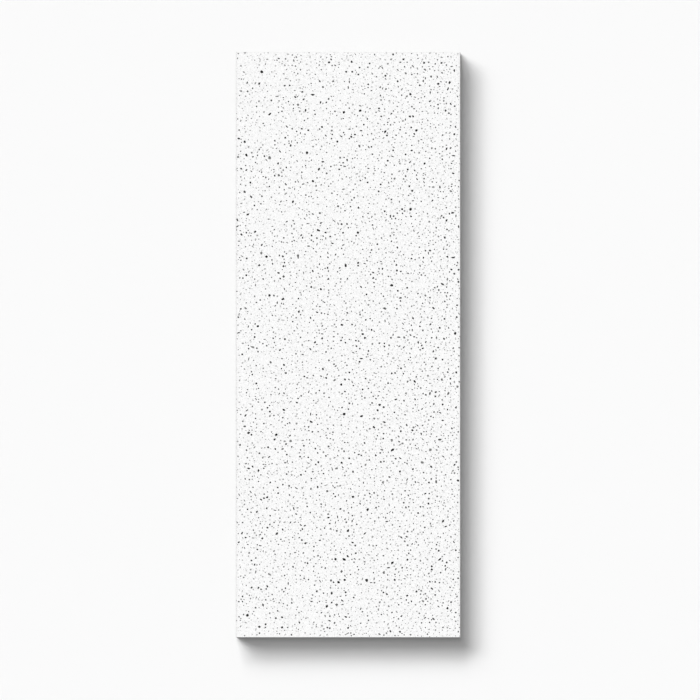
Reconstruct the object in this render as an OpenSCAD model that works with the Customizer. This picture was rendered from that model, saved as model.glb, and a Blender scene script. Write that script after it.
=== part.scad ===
// Decorative wall panel: one flat white board with black and grey flecks in its face.
// It lies on its back. X runs across it, Y runs up the wall and Z points out of its face.
// The origin is the centre of its back.

/* [Board] */
// Width across the wall, along X
board_w = 460; // [430:5:600]
// Height up the wall, along Y
board_h = 1200; // [1180:5:1500]
// Thickness, from the back to the top of the flecks
board_t = 15; // [6:0.5:30]
// Leg of the small chamfer that takes the sharpness off the edges of the face
arris = 0.5; // [0.3:0.1:2]

/* [Flecks] */
// Small flecks tried on the face; those that crowd an earlier one are left out
fleck_tries = 330; // [20:10:400]
// Share of the small flecks that are black; the others are grey
black_share = 0.7; // [0.2:0.02:0.8]
// Area of the smallest fleck drawn here, in square millimetres
fleck_area_min = 14; // [5:0.5:20]
// Mean area above the smallest, which makes most flecks small and a few large
fleck_area_spread = 7.5; // [2.5:0.5:15]
// Length over breadth of the slimmest small fleck
slimmest = 2.2; // [1.2:0.1:3]
// Least white between two flecks
fleck_gap = 1; // [0.4:0.1:3]
// Depth that the flecks reach below the face
fleck_depth = 1.5; // [0.5:0.1:3]
// How far the flecks, which are harder than the white around them, stand proud of the face
fleck_relief = 0.1; // [0.05:0.05:0.3]
// Seed of the scatter: another number lays the small flecks out anew
scatter_seed = 23; // [1:1:999]

/* [Hidden] */

// The boldest flecks, all black: place across, place up, length, breadth and tilt
BOLD = [
    [25, 480, 7, 5, 30], [185, 535, 5.5, 4.5, 150], [205, 525, 7.5, 3.5, 70],
    [202, 402, 7, 3.5, 70], [-60, 360, 6.5, 4, 60], [128, 278, 7.5, 5, 60],
    [20, 230, 5.5, 5, 0], [202, 255, 6, 4, 65], [175, 75, 7, 3.5, 130],
    [-185, 38, 5.5, 4.5, 20], [30, 22, 6, 4.5, 10], [-68, 5, 5.5, 4.5, 40],
    [180, -28, 5.5, 4.5, 45], [-8, -142, 6.5, 6, 0], [40, -338, 7, 4.5, 60],
    [-8, -440, 7.5, 5.5, 150], [188, -440, 8.5, 3.5, 40], [-198, -498, 5.5, 4, 45],
    [172, -500, 7, 3.5, 140], [175, -562, 7, 3.5, 140], [-182, -578, 6, 4.5, 150]
];
BOLD_CORNERS = 6;
CORNERS_MIN = 4;     // fewest corners of a small fleck
CORNERS_MAX = 5;     // most corners of a small fleck
CORNER_SWING = 0.28; // how far a corner strays round the fleck, as a share of one step
REACH_MIN = 0.85;    // nearest and furthest that a corner stands from the middle,
REACH_MAX = 1.2;     // as shares of an ellipse's radius there
SPREAD_MAX = 2.6;    // caps the tail of the areas
OVERRUN = 4;         // how far a cutter runs past what it cuts

// Height of the white face, above which the flecks stand proud
face_z = board_t - fleck_relief;

// One list of draws for each property, so that a change to one leaves the others as they are
bold_count = len(BOLD);
fleck_count = bold_count + fleck_tries;
across = rands(-1, 1, fleck_count, scatter_seed);
up = rands(-1, 1, fleck_count, scatter_seed + 1);
rarity = rands(0, 1, fleck_count, scatter_seed + 2);
slimness = rands(0, 1, fleck_count, scatter_seed + 3);
turned = rands(0, 180, fleck_count, scatter_seed + 4);
tone = rands(0, 1, fleck_count, scatter_seed + 5);
cornered = rands(CORNERS_MIN, CORNERS_MAX + 1, fleck_count, scatter_seed + 6);
swing = rands(-CORNER_SWING, CORNER_SWING, fleck_count * BOLD_CORNERS, scatter_seed + 7);
reach = rands(REACH_MIN, REACH_MAX, fleck_count * BOLD_CORNERS, scatter_seed + 8);

// The first flecks are the bold ones, so that every small one keeps clear of them
function is_bold(i) = i < bold_count;
function is_black(i) = is_bold(i) || tone[i] < black_share;

// Mean radius of small fleck i, from an area whose tail is exponential
function mean_radius(i) =
    sqrt((fleck_area_min + fleck_area_spread * min(-ln(1 - rarity[i]), SPREAD_MAX)) / PI);

// How much longer than its mean radius small fleck i is; most are compact
function stretch(i) = sqrt(1 + (slimmest - 1) * pow(slimness[i], 2));

// Half the length and half the breadth of fleck i
function half_size(i) =
    is_bold(i)
        ? [BOLD[i][2] / 2, BOLD[i][3] / 2]
        : [mean_radius(i) * stretch(i), mean_radius(i) / stretch(i)];

// Furthest that a corner of fleck i can lie from its middle
function extent(i) = half_size(i)[0] * REACH_MAX;

// Middle of fleck i; a small one is placed so that it stays whole inside the arris
function middle(i) =
    is_bold(i)
        ? [BOLD[i][0], BOLD[i][1]]
        : [
            across[i] * (board_w / 2 - arris - fleck_gap - extent(i)),
            up[i] * (board_h / 2 - arris - fleck_gap - extent(i))
        ];

function tilt(i) = is_bold(i) ? BOLD[i][4] : turned[i];

function corner_count(i) = is_bold(i) ? BOLD_CORNERS : floor(cornered[i]);

// Outline of fleck i about its own middle: corners at uneven steps round an ellipse
function outline(i) = [
    for (k = [0 : corner_count(i) - 1])
        let (draw = i * BOLD_CORNERS + k, angle = 360 / corner_count(i) * (k + swing[draw]))
        [half_size(i)[0] * reach[draw] * cos(angle), half_size(i)[1] * reach[draw] * sin(angle)]
];

// True if fleck i keeps its distance from every fleck before it
function stands_clear(i) = len([
    for (j = [0 : 1 : i - 1])
        if (norm(middle(i) - middle(j)) < extent(i) + extent(j) + fleck_gap) j
]) == 0;

flecks = [for (i = [0 : fleck_count - 1]) if (is_bold(i) || stands_clear(i)) i];
black_ones = [for (i = flecks) if (is_black(i)) i];
grey_ones = [for (i = flecks) if (!is_black(i)) i];

// A prism on the outline of fleck i, from the floor of its pocket up to a given height
module fleck_prism(i, top) {
    pocket_floor = face_z - fleck_depth;
    translate([middle(i).x, middle(i).y, pocket_floor])
        rotate(tilt(i))
            linear_extrude(top - pocket_floor)
                polygon(outline(i));
}

// A long square bar, turned on its corner, that cuts the arris along one edge of the face
module arris_cutter(length) {
    side = arris * sqrt(2);
    rotate([0, 45, 0])
        cube([side, length + 2 * OVERRUN, side], center = true);
}

// The board itself: one solid with plain sawn sides, a plain back and an eased face,
// and a shallow pocket for every fleck
module panel() {
    color("whitesmoke")
        difference() {
            translate([-board_w / 2, -board_h / 2, 0])
                cube([board_w, board_h, face_z]);
            for (end = [-1, 1]) {
                translate([end * board_w / 2, 0, face_z])
                    arris_cutter(board_h);
                translate([0, end * board_h / 2, face_z])
                    rotate(90)
                        arris_cutter(board_w);
            }
            for (i = flecks)
                fleck_prism(i, board_t + OVERRUN);
        }
}

// The largest black flecks, a hair proud of the face
module black_flecks() {
    color("#1b1b1d")
        for (i = black_ones)
            fleck_prism(i, board_t);
}

// The largest grey flecks, a hair proud of the face
module grey_flecks() {
    color("#78787a")
        for (i = grey_ones)
            fleck_prism(i, board_t);
}

panel();
black_flecks();
grey_flecks();
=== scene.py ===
# %% [markdown]
# # Dressing a speckled wall panel
#
# The object is one flat board of cast white stone, with chips of black and grey stone in it. The
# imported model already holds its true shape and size, with the largest chips as solids. Blender
# adds what makes it look real: the thousands of smaller chips, the finish of the white body and of
# the stone, the light and the camera. The board itself is never moved or resized.

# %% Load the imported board
import math

import bpy
import numpy as np
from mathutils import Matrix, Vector


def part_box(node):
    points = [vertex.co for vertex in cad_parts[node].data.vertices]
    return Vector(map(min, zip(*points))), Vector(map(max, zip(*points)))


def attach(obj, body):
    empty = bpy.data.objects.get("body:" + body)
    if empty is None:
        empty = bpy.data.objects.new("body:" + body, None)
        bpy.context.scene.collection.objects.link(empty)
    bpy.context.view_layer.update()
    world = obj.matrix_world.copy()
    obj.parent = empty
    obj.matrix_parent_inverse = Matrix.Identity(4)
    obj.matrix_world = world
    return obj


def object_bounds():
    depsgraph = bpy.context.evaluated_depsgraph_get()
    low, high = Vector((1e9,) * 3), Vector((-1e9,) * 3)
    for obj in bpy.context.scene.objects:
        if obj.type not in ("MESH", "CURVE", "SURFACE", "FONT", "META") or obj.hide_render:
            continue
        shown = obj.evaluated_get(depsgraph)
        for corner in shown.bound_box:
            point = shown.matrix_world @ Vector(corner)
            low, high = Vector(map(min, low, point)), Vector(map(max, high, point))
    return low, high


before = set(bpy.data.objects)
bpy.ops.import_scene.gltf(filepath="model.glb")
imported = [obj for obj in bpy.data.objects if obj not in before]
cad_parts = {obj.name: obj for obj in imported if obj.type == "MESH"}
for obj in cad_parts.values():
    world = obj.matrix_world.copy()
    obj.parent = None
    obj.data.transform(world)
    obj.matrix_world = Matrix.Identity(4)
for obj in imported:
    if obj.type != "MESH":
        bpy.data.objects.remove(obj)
cad_low, cad_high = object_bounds()
MM = 0.001
print("nodes:", sorted(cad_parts))
print("board, in millimetres:", [round(side / MM, 1) for side in cad_high - cad_low])

# %% [markdown]
# Every place below is worked out from the board's own box. The white face lies a tenth of a
# millimetre under the top of the chips, because the stone is harder than the white around it and
# wears less when the board is ground. The panel's own box gives the height of that face.

# %% Measures that everything else follows
board_w = cad_high.x - cad_low.x
board_h = cad_high.y - cad_low.y
middle = (cad_low + cad_high) / 2
face_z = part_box("panel")[1].z
top_z = cad_high.z
print(f"face at {face_z / MM:.2f} mm, chips up to {top_z / MM:.2f} mm")

# %% [markdown]
# ## The camera
#
# The photograph looks at the board square on, so the camera stands straight above it. Four numbers
# read off the photograph, the pixels of the board's edges, fix both the scale and where the board
# sits in the picture. A long lens keeps the view flat, as the photograph's is.

# %% Stand the camera over the board
PHOTO_SIDE = 700
EDGE_LEFT, EDGE_RIGHT = 236.0, 460.2
EDGE_TOP, EDGE_BOTTOM = 52.1, 637.35
LENS, SENSOR = 135, 36
FARTHEST_SEEN = 100.0   # metres, which takes in the whole floor

pixel = board_h / (EDGE_BOTTOM - EDGE_TOP)
aim_x = middle.x + (PHOTO_SIDE - EDGE_LEFT - EDGE_RIGHT) / 2 * pixel
aim_y = middle.y - (PHOTO_SIDE - EDGE_TOP - EDGE_BOTTOM) / 2 * pixel
distance = PHOTO_SIDE * pixel * LENS / SENSOR

camera_data = bpy.data.cameras.new("camera")
camera_data.lens, camera_data.sensor_width = LENS, SENSOR
camera_data.clip_end = FARTHEST_SEEN
camera = bpy.data.objects.new("camera", camera_data)
camera.location = (aim_x, aim_y, face_z + distance)
bpy.context.scene.collection.objects.link(camera)
bpy.context.scene.camera = camera
print(f"one photo pixel is {pixel / MM:.3f} mm; the camera is {distance:.2f} m above the face")

# %% [markdown]
# ## Three small helpers
#
# Colours are written as they look on screen, in sRGB hex, and Blender's shaders want light-linear
# numbers, so one function converts them. Node materials get long when every node takes four lines,
# so another adds one node, sets it up, and gives each input a number or a link. The third starts
# a material.

# %% Colour and node helpers
def linear(hex_colour, alpha=1.0):
    """sRGB hex to linear: below 0.04045 a twelfth or so, above it a power of 2.4."""
    parts = np.array([int(hex_colour[i:i + 2], 16) for i in (1, 3, 5)]) / 255
    curve = np.where(parts <= 0.04045, parts / 12.92, ((parts + 0.055) / 1.055) ** 2.4)
    return (*curve.tolist(), alpha)


def put(tree, kind, inputs=(), **settings):
    """Adds a shader node, sets its options, and gives each named input a value or a link."""
    made = tree.nodes.new("ShaderNode" + kind)
    for name, value in settings.items():
        setattr(made, name, value)
    for socket, given in dict(inputs).items():
        if isinstance(given, bpy.types.NodeSocket):
            tree.links.new(given, made.inputs[socket])
        else:
            made.inputs[socket].default_value = given
    return made


def new_material(name):
    """A material with an empty node tree; returns both."""
    material = bpy.data.materials.new(name)
    material.use_nodes = True
    material.node_tree.nodes.clear()
    return material, material.node_tree


# %% [markdown]
# ## The white body
#
# The real one is cast: white mineral flour and stone chips stirred into clear resin, set as a
# block, sawn and ground. Up close it isn't one white. The flour leaves a fine grain, a millimetre or
# two across, and pale chips show as faint grey spots. The sides and the back are cut through the
# same mix, so dark chips show there too. On the face the dark chips are solids, so the pattern
# leaves them out.
#
# A chip that a surface cuts through shows as a slice of a small angular lump. A texture of dots
# would make every slice round. Blender's Voronoi texture fills space with random points, and gives
# the place of the nearest one and a colour that belongs to it. The way from that point, turned by
# angles from the colour and measured along three sides, tells whether a place is inside a small
# turned box, and its slices have the four to six corners of crushed stone. The same colour says
# whether there is a chip, how large it is and how dark.

# %% A pattern of chips cut through
TURNS = 20.0               # radians that a chip's random numbers are spread over
UNEVEN = (1.0, 1.3, 0.8)   # a chip's three half sides are its size over these
KNOCKED = 0.8              # its corners end where a ball of its size over this does


def chips_cut(tree, place, pitch, share, least, most, pale, dark):
    """Darkness from 0 to 1 of chips, one tried in each cell `pitch` metres wide.

    A chip is there if its first random number is under `share`. Its size runs from `least` to
    `most` of the pitch with the square of the second, so small ones are common, and its darkness
    from `pale` to `dark` with the third. A place is inside if the largest of its three turned
    distances, and of a share of its straight distance, is under the size.
    """
    cells = put(tree, "TexVoronoi", {"Vector": place, "Scale": 1 / pitch})
    draws = put(tree, "SeparateColor", {"Color": cells.outputs["Color"]}).outputs
    there = put(tree, "Math", {0: draws[0], 1: share}, operation="LESS_THAN").outputs[0]
    squared = put(tree, "Math", {0: draws[1], 1: 2.0}, operation="POWER").outputs[0]
    size = put(tree, "MapRange", {0: squared, 3: least * pitch, 4: most * pitch}).outputs[0]
    tone = put(tree, "MapRange", {0: draws[2], 3: pale, 4: dark}).outputs[0]

    away = put(tree, "VectorMath", {0: place, 1: cells.outputs["Position"]}, operation="SUBTRACT")
    angles = put(tree, "VectorMath", {0: cells.outputs["Color"], "Scale": TURNS}, operation="SCALE")
    turned = put(tree, "VectorRotate", {
        "Vector": away.outputs[0], "Rotation": angles.outputs[0],
    }, rotation_type="EULER_XYZ").outputs[0]
    unsigned = put(tree, "VectorMath", {0: turned}, operation="ABSOLUTE").outputs[0]
    uneven = put(tree, "VectorMath", {0: unsigned, 1: UNEVEN}, operation="MULTIPLY").outputs[0]
    straight = put(tree, "VectorMath", {0: away.outputs[0]}, operation="LENGTH").outputs["Value"]
    widest = put(tree, "Math", {0: straight, 1: KNOCKED}, operation="MULTIPLY").outputs[0]
    for side in put(tree, "SeparateXYZ", {0: uneven}).outputs:
        widest = put(tree, "Math", {0: widest, 1: side}, operation="MAXIMUM").outputs[0]

    inside = put(tree, "Math", {0: widest, 1: size}, operation="LESS_THAN").outputs[0]
    chip = put(tree, "Math", {0: inside, 1: there}, operation="MULTIPLY").outputs[0]
    return put(tree, "Math", {0: chip, 1: tone}, operation="MULTIPLY").outputs[0]


# %% [markdown]
# The white is neutral and close to paper. The saw leaves the sides and the back a little greyer,
# and the eased edge greyer still. Along the two long edges the photograph also shows the face a
# shade darker for a few millimetres, so the tone falls off smoothly towards them.

# %% Numbers of the white stone
WHITE = "#f9f9f9"       # the ground face
SAWN = "#ececea"        # the sides and the back
EASED = "#e0e0de"       # the eased edge
CHIP_BLACK = "#0b0b0a"
FACE_SKIN = 0.05 * MM   # what lies further than this under the face belongs to the edges
EASED_DEEP = 0.5 * MM   # how far under the face the eased edge reaches
RIM = 5.5 * MM          # how far in from the long edges the face begins to darken
RIM_DARK = 0.075        # and how dark it is at the edge itself
GRAIN = 1.3 * MM        # width of the fine grain
GRAIN_DEPTH = 0.24      # how much darker the darkest grain is than the palest
GRAIN_OCTAVES = 2.0     # a noise with more octaves has finer detail on top of its waves
PALE_PITCH = 2.8 * MM   # between the faint grey chips
PALE_SHARE = 0.5        # of the places for one that hold one
PALE_LEAST, PALE_MOST = 0.19, 0.44   # their size, as a share of the pitch
PALE_FAINT, PALE_CLEAR = 0.04, 0.34  # and their darkness
CUT_PITCH = 5.0 * MM    # between the dark chips in the sides and the back
CUT_SHARE = 0.75
CUT_LEAST, CUT_MOST = 0.12, 0.36
CUT_GREY, CUT_BLACK = 0.45, 1.0
ROUGHENING = 0.3 * MM   # how far the noise pulls a chip's outline about
ROUGHENING_OCTAVES = 1.0
NOISE_LOW, NOISE_HIGH = 0.3, 0.7     # a Noise texture seldom leaves this range
NOISE_MIDDLE = (0.5, 0.5, 0.5)       # and its colour swings about this

# %% [markdown]
# The pattern is put together as darkness, from 0 for white to 1 for black: the faint chips all
# over, the dark ones only off the face, the rim and the grain. Noise pulls the places about a
# little first, so that no chip has a ruled outline.

# %% Material: cast white stone; faint spots and grain keep a large white face from looking painted
white_stone, tree = new_material("cast_white_stone")
place = put(tree, "TexCoord").outputs["Object"]
across, _, height = put(tree, "SeparateXYZ", {0: place}).outputs
wander = put(tree, "TexNoise", {"Vector": place, "Scale": 1 / GRAIN, "Detail": ROUGHENING_OCTAVES})
centred = put(tree, "VectorMath", {
    0: wander.outputs["Color"], 1: NOISE_MIDDLE,
}, operation="SUBTRACT")
pulled = put(tree, "VectorMath", {0: centred.outputs[0], "Scale": ROUGHENING}, operation="SCALE")
rough_place = put(tree, "VectorMath", {0: place, 1: pulled.outputs[0]}, operation="ADD").outputs[0]

faint = chips_cut(
    tree, rough_place, PALE_PITCH, PALE_SHARE, PALE_LEAST, PALE_MOST, PALE_FAINT, PALE_CLEAR)
dark = chips_cut(
    tree, rough_place, CUT_PITCH, CUT_SHARE, CUT_LEAST, CUT_MOST, CUT_GREY, CUT_BLACK)
off_face = put(tree, "Math", {0: height, 1: face_z - FACE_SKIN}, operation="LESS_THAN").outputs[0]
dark_off_face = put(tree, "Math", {0: dark, 1: off_face}, operation="MULTIPLY").outputs[0]
spots = put(tree, "Math", {0: faint, 1: dark_off_face}, operation="MAXIMUM").outputs[0]

# %% The rim and the grain
from_middle = put(tree, "Math", {0: across}, operation="ABSOLUTE").outputs[0]
to_edge = put(tree, "Math", {0: board_w / 2, 1: from_middle}, operation="SUBTRACT").outputs[0]
rim = put(tree, "MapRange", {
    0: to_edge, 1: 0.0, 2: RIM, 3: RIM_DARK, 4: 0.0,
}, interpolation_type="SMOOTHSTEP")
grain = put(tree, "TexNoise", {"Vector": place, "Scale": 1 / GRAIN, "Detail": GRAIN_OCTAVES})
grain_dark = put(tree, "MapRange", {
    0: grain.outputs[0], 1: NOISE_LOW, 2: NOISE_HIGH, 3: 0.0, 4: GRAIN_DEPTH,
})
spots_and_rim = put(tree, "Math", {0: spots, 1: rim.outputs[0]}, operation="ADD").outputs[0]
darkness = put(tree, "Math", {
    0: spots_and_rim, 1: grain_dark.outputs[0],
}, operation="ADD", use_clamp=True)

# %% [markdown]
# Cast stone ground to a satin has a roughness near 0.45, and the index of the resin that binds it,
# 1.49. The real grinding marks are finer than the picture can show. They are drawn coarser, half
# a millimetre wide and a hundredth deep, which only softens the shine.

# %% Colour and shine of the white stone
MARKS = 0.5 * MM             # width of the grinding marks
MARK_OCTAVES = 3.0
MARK_DEPTH = 0.01 * MM
MARK_STRENGTH = 0.5
SATIN_LEAST, SATIN_MOST = 0.38, 0.52
RESIN_INDEX = 1.49

below_edge = put(tree, "Math", {0: height, 1: face_z - EASED_DEEP}, operation="LESS_THAN").outputs[0]
cut = put(tree, "Mix", {0: below_edge, 6: linear(EASED), 7: linear(SAWN)}, data_type="RGBA").outputs[2]
ground = put(tree, "Mix", {0: off_face, 6: linear(WHITE), 7: cut}, data_type="RGBA").outputs[2]
colour = put(tree, "Mix", {0: darkness.outputs[0], 6: ground, 7: linear(CHIP_BLACK)}, data_type="RGBA")
marks = put(tree, "TexNoise", {
    "Vector": place, "Scale": 1 / MARKS, "Detail": MARK_OCTAVES,
}).outputs[0]
satin = put(tree, "MapRange", {0: marks, 3: SATIN_LEAST, 4: SATIN_MOST}).outputs[0]
relief = put(tree, "Bump", {"Height": marks, "Strength": MARK_STRENGTH, "Distance": MARK_DEPTH})
body = put(tree, "BsdfPrincipled", {
    "Base Color": colour.outputs[2], "Roughness": satin, "IOR": RESIN_INDEX, "Normal": relief.outputs[0],
})
put(tree, "OutputMaterial", {"Surface": body.outputs[0]})
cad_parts["panel"].data.materials.clear()
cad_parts["panel"].data.materials.append(white_stone)
print("white stone:", len(tree.nodes), "nodes")

# %% [markdown]
# ## The stone chips
#
# The chips are crushed stone, black and every grey between, ground flat with the board. Ground
# stone is smoother than the resin round it, so it catches a sharper light, and inside one chip
# the tone drifts a little, as in any natural stone. Its index is that of quartz, 1.54.
#
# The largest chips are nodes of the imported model, one black and one grey. Each lies somewhere else
# on the board, so a slow noise over their place gives each its own tone. The smaller chips, made
# further down, carry their tone with them as a number at each point.

# %% Numbers of the ground stone
CHIP_PALE = "#f2f2f1"
STONE_DRIFT = 1.2 * MM   # width of the change of tone inside a chip
DRIFT_OCTAVES = 2.0
NEIGHBOURS = 24 * MM     # two chips this far apart have unlike tones
STONE_SMOOTH, STONE_ROUGH = 0.22, 0.42
STONE_INDEX = 1.54
LARGE_CHIPS = {
    # node: darkness from, to, and how much it drifts inside one chip
    "black_flecks": (0.98, 1.0, 0.01),
    "grey_flecks": (0.76, 0.95, 0.04),
}
SMALL_DRIFT = 0.015


# %% Materials: ground stone; the drift keeps a black chip from looking like a hole
def ground_stone(name, tone_of, swing):
    """A chip's stone: its darkness is what `tone_of` gives, plus or minus a drift of `swing`."""
    material, tree = new_material(name)
    place = put(tree, "TexCoord").outputs["Object"]
    drift = put(tree, "TexNoise", {
        "Vector": place, "Scale": 1 / STONE_DRIFT, "Detail": DRIFT_OCTAVES,
    }).outputs[0]
    change = put(tree, "MapRange", {
        0: drift, 1: NOISE_LOW, 2: NOISE_HIGH, 3: -swing, 4: swing,
    }).outputs[0]
    darkness = put(tree, "Math", {0: tone_of(tree, place), 1: change}, operation="ADD", use_clamp=True)
    colour = put(tree, "Mix", {
        0: darkness.outputs[0], 6: linear(CHIP_PALE), 7: linear(CHIP_BLACK),
    }, data_type="RGBA")
    shine = put(tree, "MapRange", {0: drift, 3: STONE_SMOOTH, 4: STONE_ROUGH})
    stone = put(tree, "BsdfPrincipled", {
        "Base Color": colour.outputs[2], "Roughness": shine.outputs[0], "IOR": STONE_INDEX,
    })
    put(tree, "OutputMaterial", {"Surface": stone.outputs[0]})
    return material


def tone_by_place(low, high):
    """Darkness that changes slowly over the board, from `low` to `high`."""
    def build(tree, place):
        slow = put(tree, "TexNoise", {
            "Vector": place, "Scale": 1 / NEIGHBOURS, "Detail": 0.0,
        }).outputs[0]
        return put(tree, "MapRange", {
            0: slow, 1: NOISE_LOW, 2: NOISE_HIGH, 3: low, 4: high,
        }).outputs[0]
    return build


def tone_carried(tree, place):
    """Darkness that each small chip carries as its own number."""
    return put(tree, "Attribute", attribute_name="tone").outputs["Fac"]


# %% Give the large chips their stone
for node, (low, high, swing) in LARGE_CHIPS.items():
    material = ground_stone("ground_stone_of_" + node, tone_by_place(low, high), swing)
    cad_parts[node].data.materials.clear()
    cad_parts[node].data.materials.append(material)
small_stone = ground_stone("ground_stone_of_small_chips", tone_carried, SMALL_DRIFT)
print("stone materials ready")

# %% [markdown]
# ## The small chips
#
# The photograph shows about eight and a half thousand dark dots on each square metre of the face,
# and more that are too faint to count. Crushed stone that has passed a sieve has sizes whose
# logarithm follows a bell curve: half of these chips are under three and a half square
# millimetres, and a few run to fifteen. Most are compact, and a few are splinters.
#
# They could be painted by a texture, as the ones in the sides are. But an exported model has its
# textures baked into an image, and on so large a board one pixel of that is as wide as a small
# chip. As solids they stay sharp, and their sizes and distances can be set from the photograph.
#
# Stirred chips lie at random but not quite: two can't fill one place, and there are no large bare
# patches. So the face is ruled into square cells and each holds one candidate, anywhere in it.
# A candidate is a circle of its own area, and it goes if a larger one comes too near. The
# photograph also has about a quarter more chips at its right edge than over its left half, as where
# a poured mix settles, so a share of the candidates goes at random, the fewest at the right.

# %% Numbers of the small chips
CELL = 7.3 * MM              # side of the square that holds one candidate
MEDIAN_AREA = 3.5 * MM ** 2
AREA_SPREAD = 0.85           # standard deviation of the area's logarithm
SMALLEST_AREA = 0.9 * MM ** 2
LARGEST_AREA = 15 * MM ** 2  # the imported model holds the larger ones
SPARE_DRAWS = 2              # areas drawn for each one kept, as some fall outside those two
SLIMMEST = 3.8               # length over breadth of the slimmest
SPLINTERS = 4                # the higher this power, the fewer of the chips are slim
BLACK_SHARE = 0.52
BLACK_TONES = (0.98, 1.0)
GREY_TONES = (0.45, 0.95)
WHITE_BETWEEN = 1.25 * MM    # least white between two chips' circles
EDGE_KEPT = 0.6 * MM         # the chips end this far in, just inside the eased edge
POUR_LEAST = 0.78            # share of the candidates that stay over the left half
POUR_RIGHT = 0.22            # what it gains from the middle to the right edge
POUR_DOWN = 0.03             # and from the middle to the bottom edge
SEED = 11

# %% Sizes, places and tones of the candidates
rng = np.random.default_rng(SEED)
cells = np.array([round(board_w / CELL), round(board_h / CELL)])
count = int(cells.prod())
areas = MEDIAN_AREA * np.exp(AREA_SPREAD * rng.standard_normal(SPARE_DRAWS * count))
areas = areas[(areas > SMALLEST_AREA) & (areas < LARGEST_AREA)][:count]
areas = np.sort(areas)[::-1]
radius = np.sqrt(areas / np.pi)
slim = np.sqrt(1 + (SLIMMEST - 1) * rng.random(count) ** SPLINTERS)
reach = radius * slim
own_cell = np.stack(np.divmod(rng.permutation(count), cells[1]), 1)
share = 2 * (own_cell + rng.random((count, 2))) / cells - 1
centre = np.array([middle.x, middle.y])
half = np.array([board_w, board_h]) / 2 - EDGE_KEPT
at = share * (half - radius[:, None] / 2) + centre   # so some chips reach past the edge
is_black = rng.random(count) < BLACK_SHARE
tone = np.where(is_black, rng.uniform(*BLACK_TONES, count), rng.uniform(*GREY_TONES, count))
print(count, "candidates, mean area", round(float(areas.mean()) / MM ** 2, 2), "mm2")


# %% [markdown]
# Who crowds whom is one table of distances between all candidates, worked out a strip at a time
# so that it fits in memory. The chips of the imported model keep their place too. Their mesh is loose
# triangles, and each triangle on top of one is a circle that a small chip has to keep out of.

# %% Leave out the chips that others crowd
SAME_HEIGHT = 0.01 * MM


def tops_of(node):
    """Middle and reach of each triangle on top of a chip node: the mean of its corners, and the
    way from there to the farthest.
    """
    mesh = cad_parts[node].data
    corners = np.zeros(len(mesh.loops), int)
    mesh.loops.foreach_get("vertex_index", corners)
    places = np.zeros(len(mesh.vertices) * 3)
    mesh.vertices.foreach_get("co", places)
    triangles = places.reshape(-1, 3)[corners].reshape(-1, 3, 3)
    flat = triangles[(triangles[:, :, 2] > top_z - SAME_HEIGHT).all(1)][:, :, :2]
    middles = flat.mean(1)
    return middles, np.linalg.norm(flat - middles[:, None], axis=2).max(1)


def crowded(points, sizes, others, other_sizes, ranks=None, strip=500):
    """True for each point whose circle meets another's; with ranks, only one of a lower rank counts."""
    found = np.zeros(len(points), bool)
    for start in range(0, len(points), strip):
        rows = slice(start, start + strip)
        gaps = np.linalg.norm(points[rows, None] - others[None], axis=2)
        near = gaps < sizes[rows, None] + other_sizes[None]
        if ranks is not None:
            near &= ranks[None] < ranks[rows, None]
        found[rows] = near.any(1)
    return found


large_middles, large_reaches = map(np.concatenate, zip(*map(tops_of, LARGE_CHIPS)))
gone = crowded(at, radius, at, radius + WHITE_BETWEEN, ranks=np.arange(count))
richness = POUR_LEAST + POUR_RIGHT * np.maximum(share[:, 0], 0) - POUR_DOWN * share[:, 1]
gone |= rng.random(count) > richness
gone |= crowded(at, reach, large_middles, large_reaches)
at, radius, slim, tone = at[~gone], radius[~gone], slim[~gone], tone[~gone]
print(int(gone.sum()), "left out,", len(at), "chips kept")

# %% [markdown]
# Each chip's outline is an ellipse walked in six steps of uneven length, with each corner a little
# in or out, then turned. All outlines are worked out at once, as one array of chip by corner by
# coordinate.
#
# The saw cuts through chips at the board's edges, and what is left of them ends in a straight side
# there. So a corner that lies past the edge of the face is moved back onto it. Two corners at most
# may move, because with more the rest would be a sliver, and a chip over a corner of the board is
# left out too.

# %% Outlines of the small chips
CORNERS = 6
CORNER_SWING = 0.28                   # how far a corner strays round the ellipse, in steps
CORNER_NEAR, CORNER_FAR = 0.88, 1.24  # and how far in or out of it, as shares of its radius
CORNERS_CUT = 2                       # most corners that the board's edge may cut off a chip


def outlines(rng, radius, slim):
    """Corners round each chip's middle: uneven steps round an ellipse, each in or out a little."""
    steps = np.arange(CORNERS) + rng.uniform(-CORNER_SWING, CORNER_SWING, (len(radius), CORNERS))
    angle = 2 * np.pi / CORNERS * steps
    out = rng.uniform(CORNER_NEAR, CORNER_FAR, angle.shape) * radius[:, None]
    x, y = out * slim[:, None] * np.cos(angle), out / slim[:, None] * np.sin(angle)
    turn = rng.uniform(0, np.pi, (len(radius), 1))
    return np.stack([x * np.cos(turn) - y * np.sin(turn), x * np.sin(turn) + y * np.cos(turn)], 2)


whole = at[:, None] + outlines(rng, radius, slim)
corners = np.clip(whole, centre - half, centre + half)
moved = corners != whole
odd = (moved.any(2).sum(1) > CORNERS_CUT) | moved.any(1).all(1)
corners, tone = corners[~odd], tone[~odd]
print(int(moved.any((1, 2)).sum()), "chips at the edges,", int(odd.sum()), "of them left out")

# %% [markdown]
# An exported model has its colours baked into an image, so the chips bring a map for that image:
# a square for each chip, with its top and the skirt of its sides in the left of the square and its
# underside in the right.

# %% The small chips' places in a baked image
TOP_AT, TOP_RADIUS, SKIRT_RADIUS = (0.32, 0.5), 0.2, 0.28  # as shares of a chip's square
UNDER_AT, UNDER_RADIUS = (0.8, 0.5), 0.14


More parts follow.
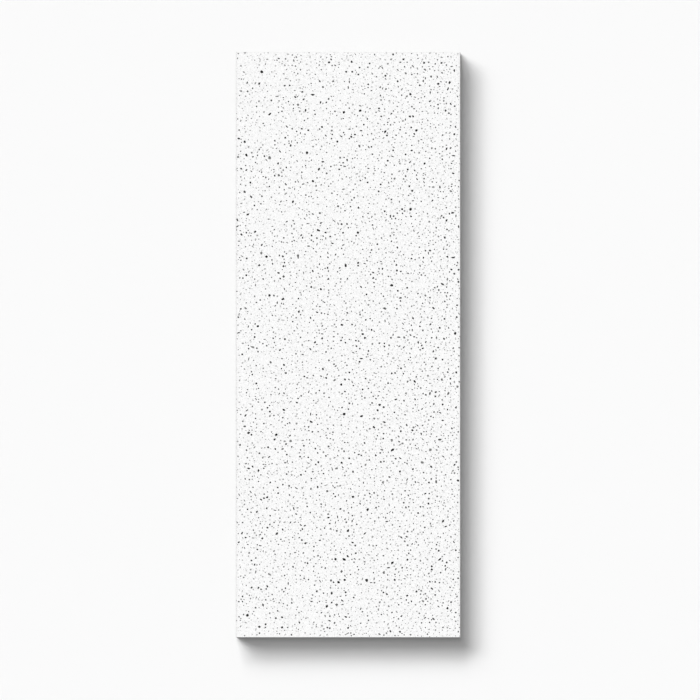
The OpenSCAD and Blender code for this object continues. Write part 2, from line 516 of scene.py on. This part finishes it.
def chip_map(count):
    """Map places of each chip's corners: a circle of six for its top, a wider one round it for
    the foot of its sides, and one beside them for its underside, all in the chip's own square.
    """
    side = math.ceil(math.sqrt(count))
    square = np.stack(np.divmod(np.arange(count), side), 1)[:, None]
    angle = 2 * np.pi / CORNERS * np.arange(CORNERS)
    circle = np.stack([np.cos(angle), np.sin(angle)], 1)[None]
    top = (square + TOP_AT + TOP_RADIUS * circle) / side
    skirt = (square + TOP_AT + SKIRT_RADIUS * circle) / side
    under = (square + UNDER_AT + UNDER_RADIUS * circle) / side
    return top, skirt, under


# %% [markdown]
# A chip is a flat-topped prism, sunk half a millimetre into the white, and its top stands under
# a tenth of a millimetre proud. Its surface is a grid with two parameters, the ring and the corner:
# the upper ring lies on top, the lower ring in the white. The points of all chips are one array of
# chip by ring by corner by coordinate.

# %% Build the small chips
SUNK = 0.5 * MM
PROUD_LEAST, PROUD_MOST = 0.5, 0.85  # shares of the relief, never alike, so no two tops coincide
BLACK_FROM = 0.86                    # a chip this dark is in the black piece


def build_chips(name, corners, tone, rng):
    """One mesh of flat-topped prisms: a ring of corners above the face and the same ring under
    it, joined by a side for each pair of corners and closed by a flat face above and below.
    """
    count = len(corners)
    proud = (top_z - face_z) * rng.uniform(PROUD_LEAST, PROUD_MOST, count)
    points = np.zeros((count, 2, CORNERS, 3))
    points[..., :2] = corners[:, None]
    points[:, 0, :, 2] = face_z + proud[:, None]
    points[:, 1, :, 2] = face_z - SUNK
    index = np.arange(points.size // 3).reshape(count, 2, CORNERS)
    after = np.roll(index, -1, axis=2)
    sides = np.stack([index[:, 0], index[:, 1], after[:, 1], after[:, 0]], axis=2)
    faces = [*index[:, 0].tolist(), *sides.reshape(-1, 4).tolist(), *index[:, 1, ::-1].tolist()]
    mesh = bpy.data.meshes.new(name)
    mesh.from_pydata(points.reshape(-1, 3).tolist(), [], faces)
    mesh.attributes.new("tone", "FLOAT", "POINT").data.foreach_set(
        "value", np.repeat(tone, 2 * CORNERS).astype(np.float32))
    top, skirt, under = chip_map(count)
    ring = np.stack([top, skirt, np.roll(skirt, -1, axis=1), np.roll(top, -1, axis=1)], 2)
    places = np.concatenate([top.reshape(-1, 2), ring.reshape(-1, 2), under[:, ::-1].reshape(-1, 2)])
    mesh.uv_layers.new(name="OFBake").uv.foreach_set("vector", places.astype(np.float32).ravel())
    mesh.materials.append(small_stone)
    piece = bpy.data.objects.new(name, mesh)
    bpy.context.scene.collection.objects.link(piece)
    print(name + ":", count, "chips,", count * (4 * CORNERS - 4), "triangles")
    return piece


black = tone > BLACK_FROM
for name, slot, chosen in (
    ("small_black_chips", "black_fleck", black),
    ("small_grey_chips", "grey_fleck", ~black),
):
    piece = build_chips(name, corners[chosen], tone[chosen], rng)
    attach(piece, "root")

# %% [markdown]
# ## Floor and light
#
# The board lies on a pale floor. In the photograph its shadow falls to the lower right, five times
# as wide as the board is thick and soft all over, so the light comes from large softboxes low on
# the upper left. One is so wide that it is drawn as five lamps side by side, which rounds the ends
# of the shadow. A rounder and a higher one shape its root and its long soft end.
#
# Lamps that low would burn out the two sides that face them and glare across the face when it is
# seen from the side. So light linking gives them to the floor alone, where the board still shades
# them, and a key lamp and a wide overhead one, which together are about as strong, go to the
# board alone. A lamp's share is what it adds to the light on a level surface, and a low lamp has
# to be stronger for the same share, by one over the sine of its height.
#
# The floor is matt and shows no lamp. No lamp's light bounces on, because the board's pale sides
# would throw a bright rim on the floor that the photograph doesn't have. Nor do lamps show in the
# board's shine: a real softbox is cut off by its frame, and these have no edge.

# %% Floor, in matt paint; with no shine at all it shows the shadow and nothing else
FLOOR_SIDE = 40.0
FLOOR_COLOUR = "#eeeeee"
FLOOR_SHOWN = "#fbfbfb"   # the tone of the ground in the photograph
FLOOR_ROUGHNESS = 0.9

corner = FLOOR_SIDE / 2
u, v = np.meshgrid([-corner, corner], [-corner, corner], indexing="ij")
floor_points = np.stack([u, v, np.full_like(u, cad_low.z)], 2).reshape(-1, 3)
floor_mesh = bpy.data.meshes.new("floor")
floor_mesh.from_pydata(floor_points.tolist(), [], [(0, 2, 3, 1)])
floor = bpy.data.objects.new("floor", floor_mesh)
bpy.context.scene.collection.objects.link(floor)
floor_paint, tree = new_material("matt_floor_paint")
paint = put(tree, "BsdfPrincipled", {
    "Base Color": linear(FLOOR_COLOUR), "Roughness": FLOOR_ROUGHNESS, "Specular IOR Level": 0.0,
})
put(tree, "OutputMaterial", {"Surface": paint.outputs[0]})
floor_mesh.materials.append(floor_paint)
print("floor:", FLOOR_SIDE, "m square")


# %% Who is lit by what
def receivers(name, state):
    """A light-linking collection that takes in only the floor, or leaves only the floor out."""
    linked = bpy.data.collections.new(name)
    linked.objects.link(floor)
    linked.collection_objects[0].light_linking.link_state = state
    return linked


floor_only = receivers("lit_floor", "INCLUDE")
board_only = receivers("lit_board", "EXCLUDE")

# %% Lamps
WIDE_TURNS = np.linspace(29.4, 78.2, 5)   # degrees from the left edge's side towards the top edge's
WIDE_SHARE = 0.497
lamps = [
    # name, turn, height and width in degrees, share of the light on a level surface, what it lights
    (f"wide_softbox_{index + 1}", turn, 12.5, 8.8, WIDE_SHARE / len(WIDE_TURNS), floor_only)
    for index, turn in enumerate(WIDE_TURNS)
] + [
    ("round_softbox", 48.5, 16.9, 24.9, 0.178, floor_only),
    ("high_softbox", 75.0, 50.7, 43.9, 0.115, floor_only),
    ("key_lamp", 52.0, 50.0, 40.0, 0.417, board_only),
    ("overhead_lamp", 52.0, 80.0, 140.0, 0.417, board_only),
]
radiance = linear(FLOOR_SHOWN)[0] / linear(FLOOR_COLOUR)[0]   # what lights the floor to its tone

for name, turn_degrees, rise_degrees, width_degrees, part, lit in lamps:
    turn, rise = math.radians(turn_degrees), math.radians(rise_degrees)
    level = math.cos(rise)
    towards = Vector((-level * math.cos(turn), level * math.sin(turn), math.sin(rise)))
    lamp = bpy.data.lights.new(name, "SUN")
    lamp.angle = math.radians(width_degrees)
    lamp.energy = math.pi * radiance * part / math.sin(rise)
    lamp.cycles.max_bounces = 0
    holder = bpy.data.objects.new(name, lamp)
    holder.rotation_euler = towards.to_track_quat("Z", "Y").to_euler()
    holder.visible_glossy = False
    holder.light_linking.receiver_collection = lit
    bpy.context.scene.collection.objects.link(holder)
    print(f"{name}: {lamp.energy:.2f} W/m2")

# %% [markdown]
# The rest of the light, a fifth of it, comes evenly from all round, as from the white walls of
# a studio. It is what is left in the darkest part of the shadow. The Standard view transform shows
# a tone as it is, so the floor's brightness can be set from the photograph.

# %% Fill light and view
FILL_SHARE = 0.211

world = bpy.data.worlds.new("studio")
world.use_nodes = True
background = world.node_tree.nodes["Background"]
background.inputs["Color"].default_value = (1, 1, 1, 1)
background.inputs["Strength"].default_value = radiance * FILL_SHARE
bpy.context.scene.world = world
bpy.context.scene.view_settings.view_transform = "Standard"
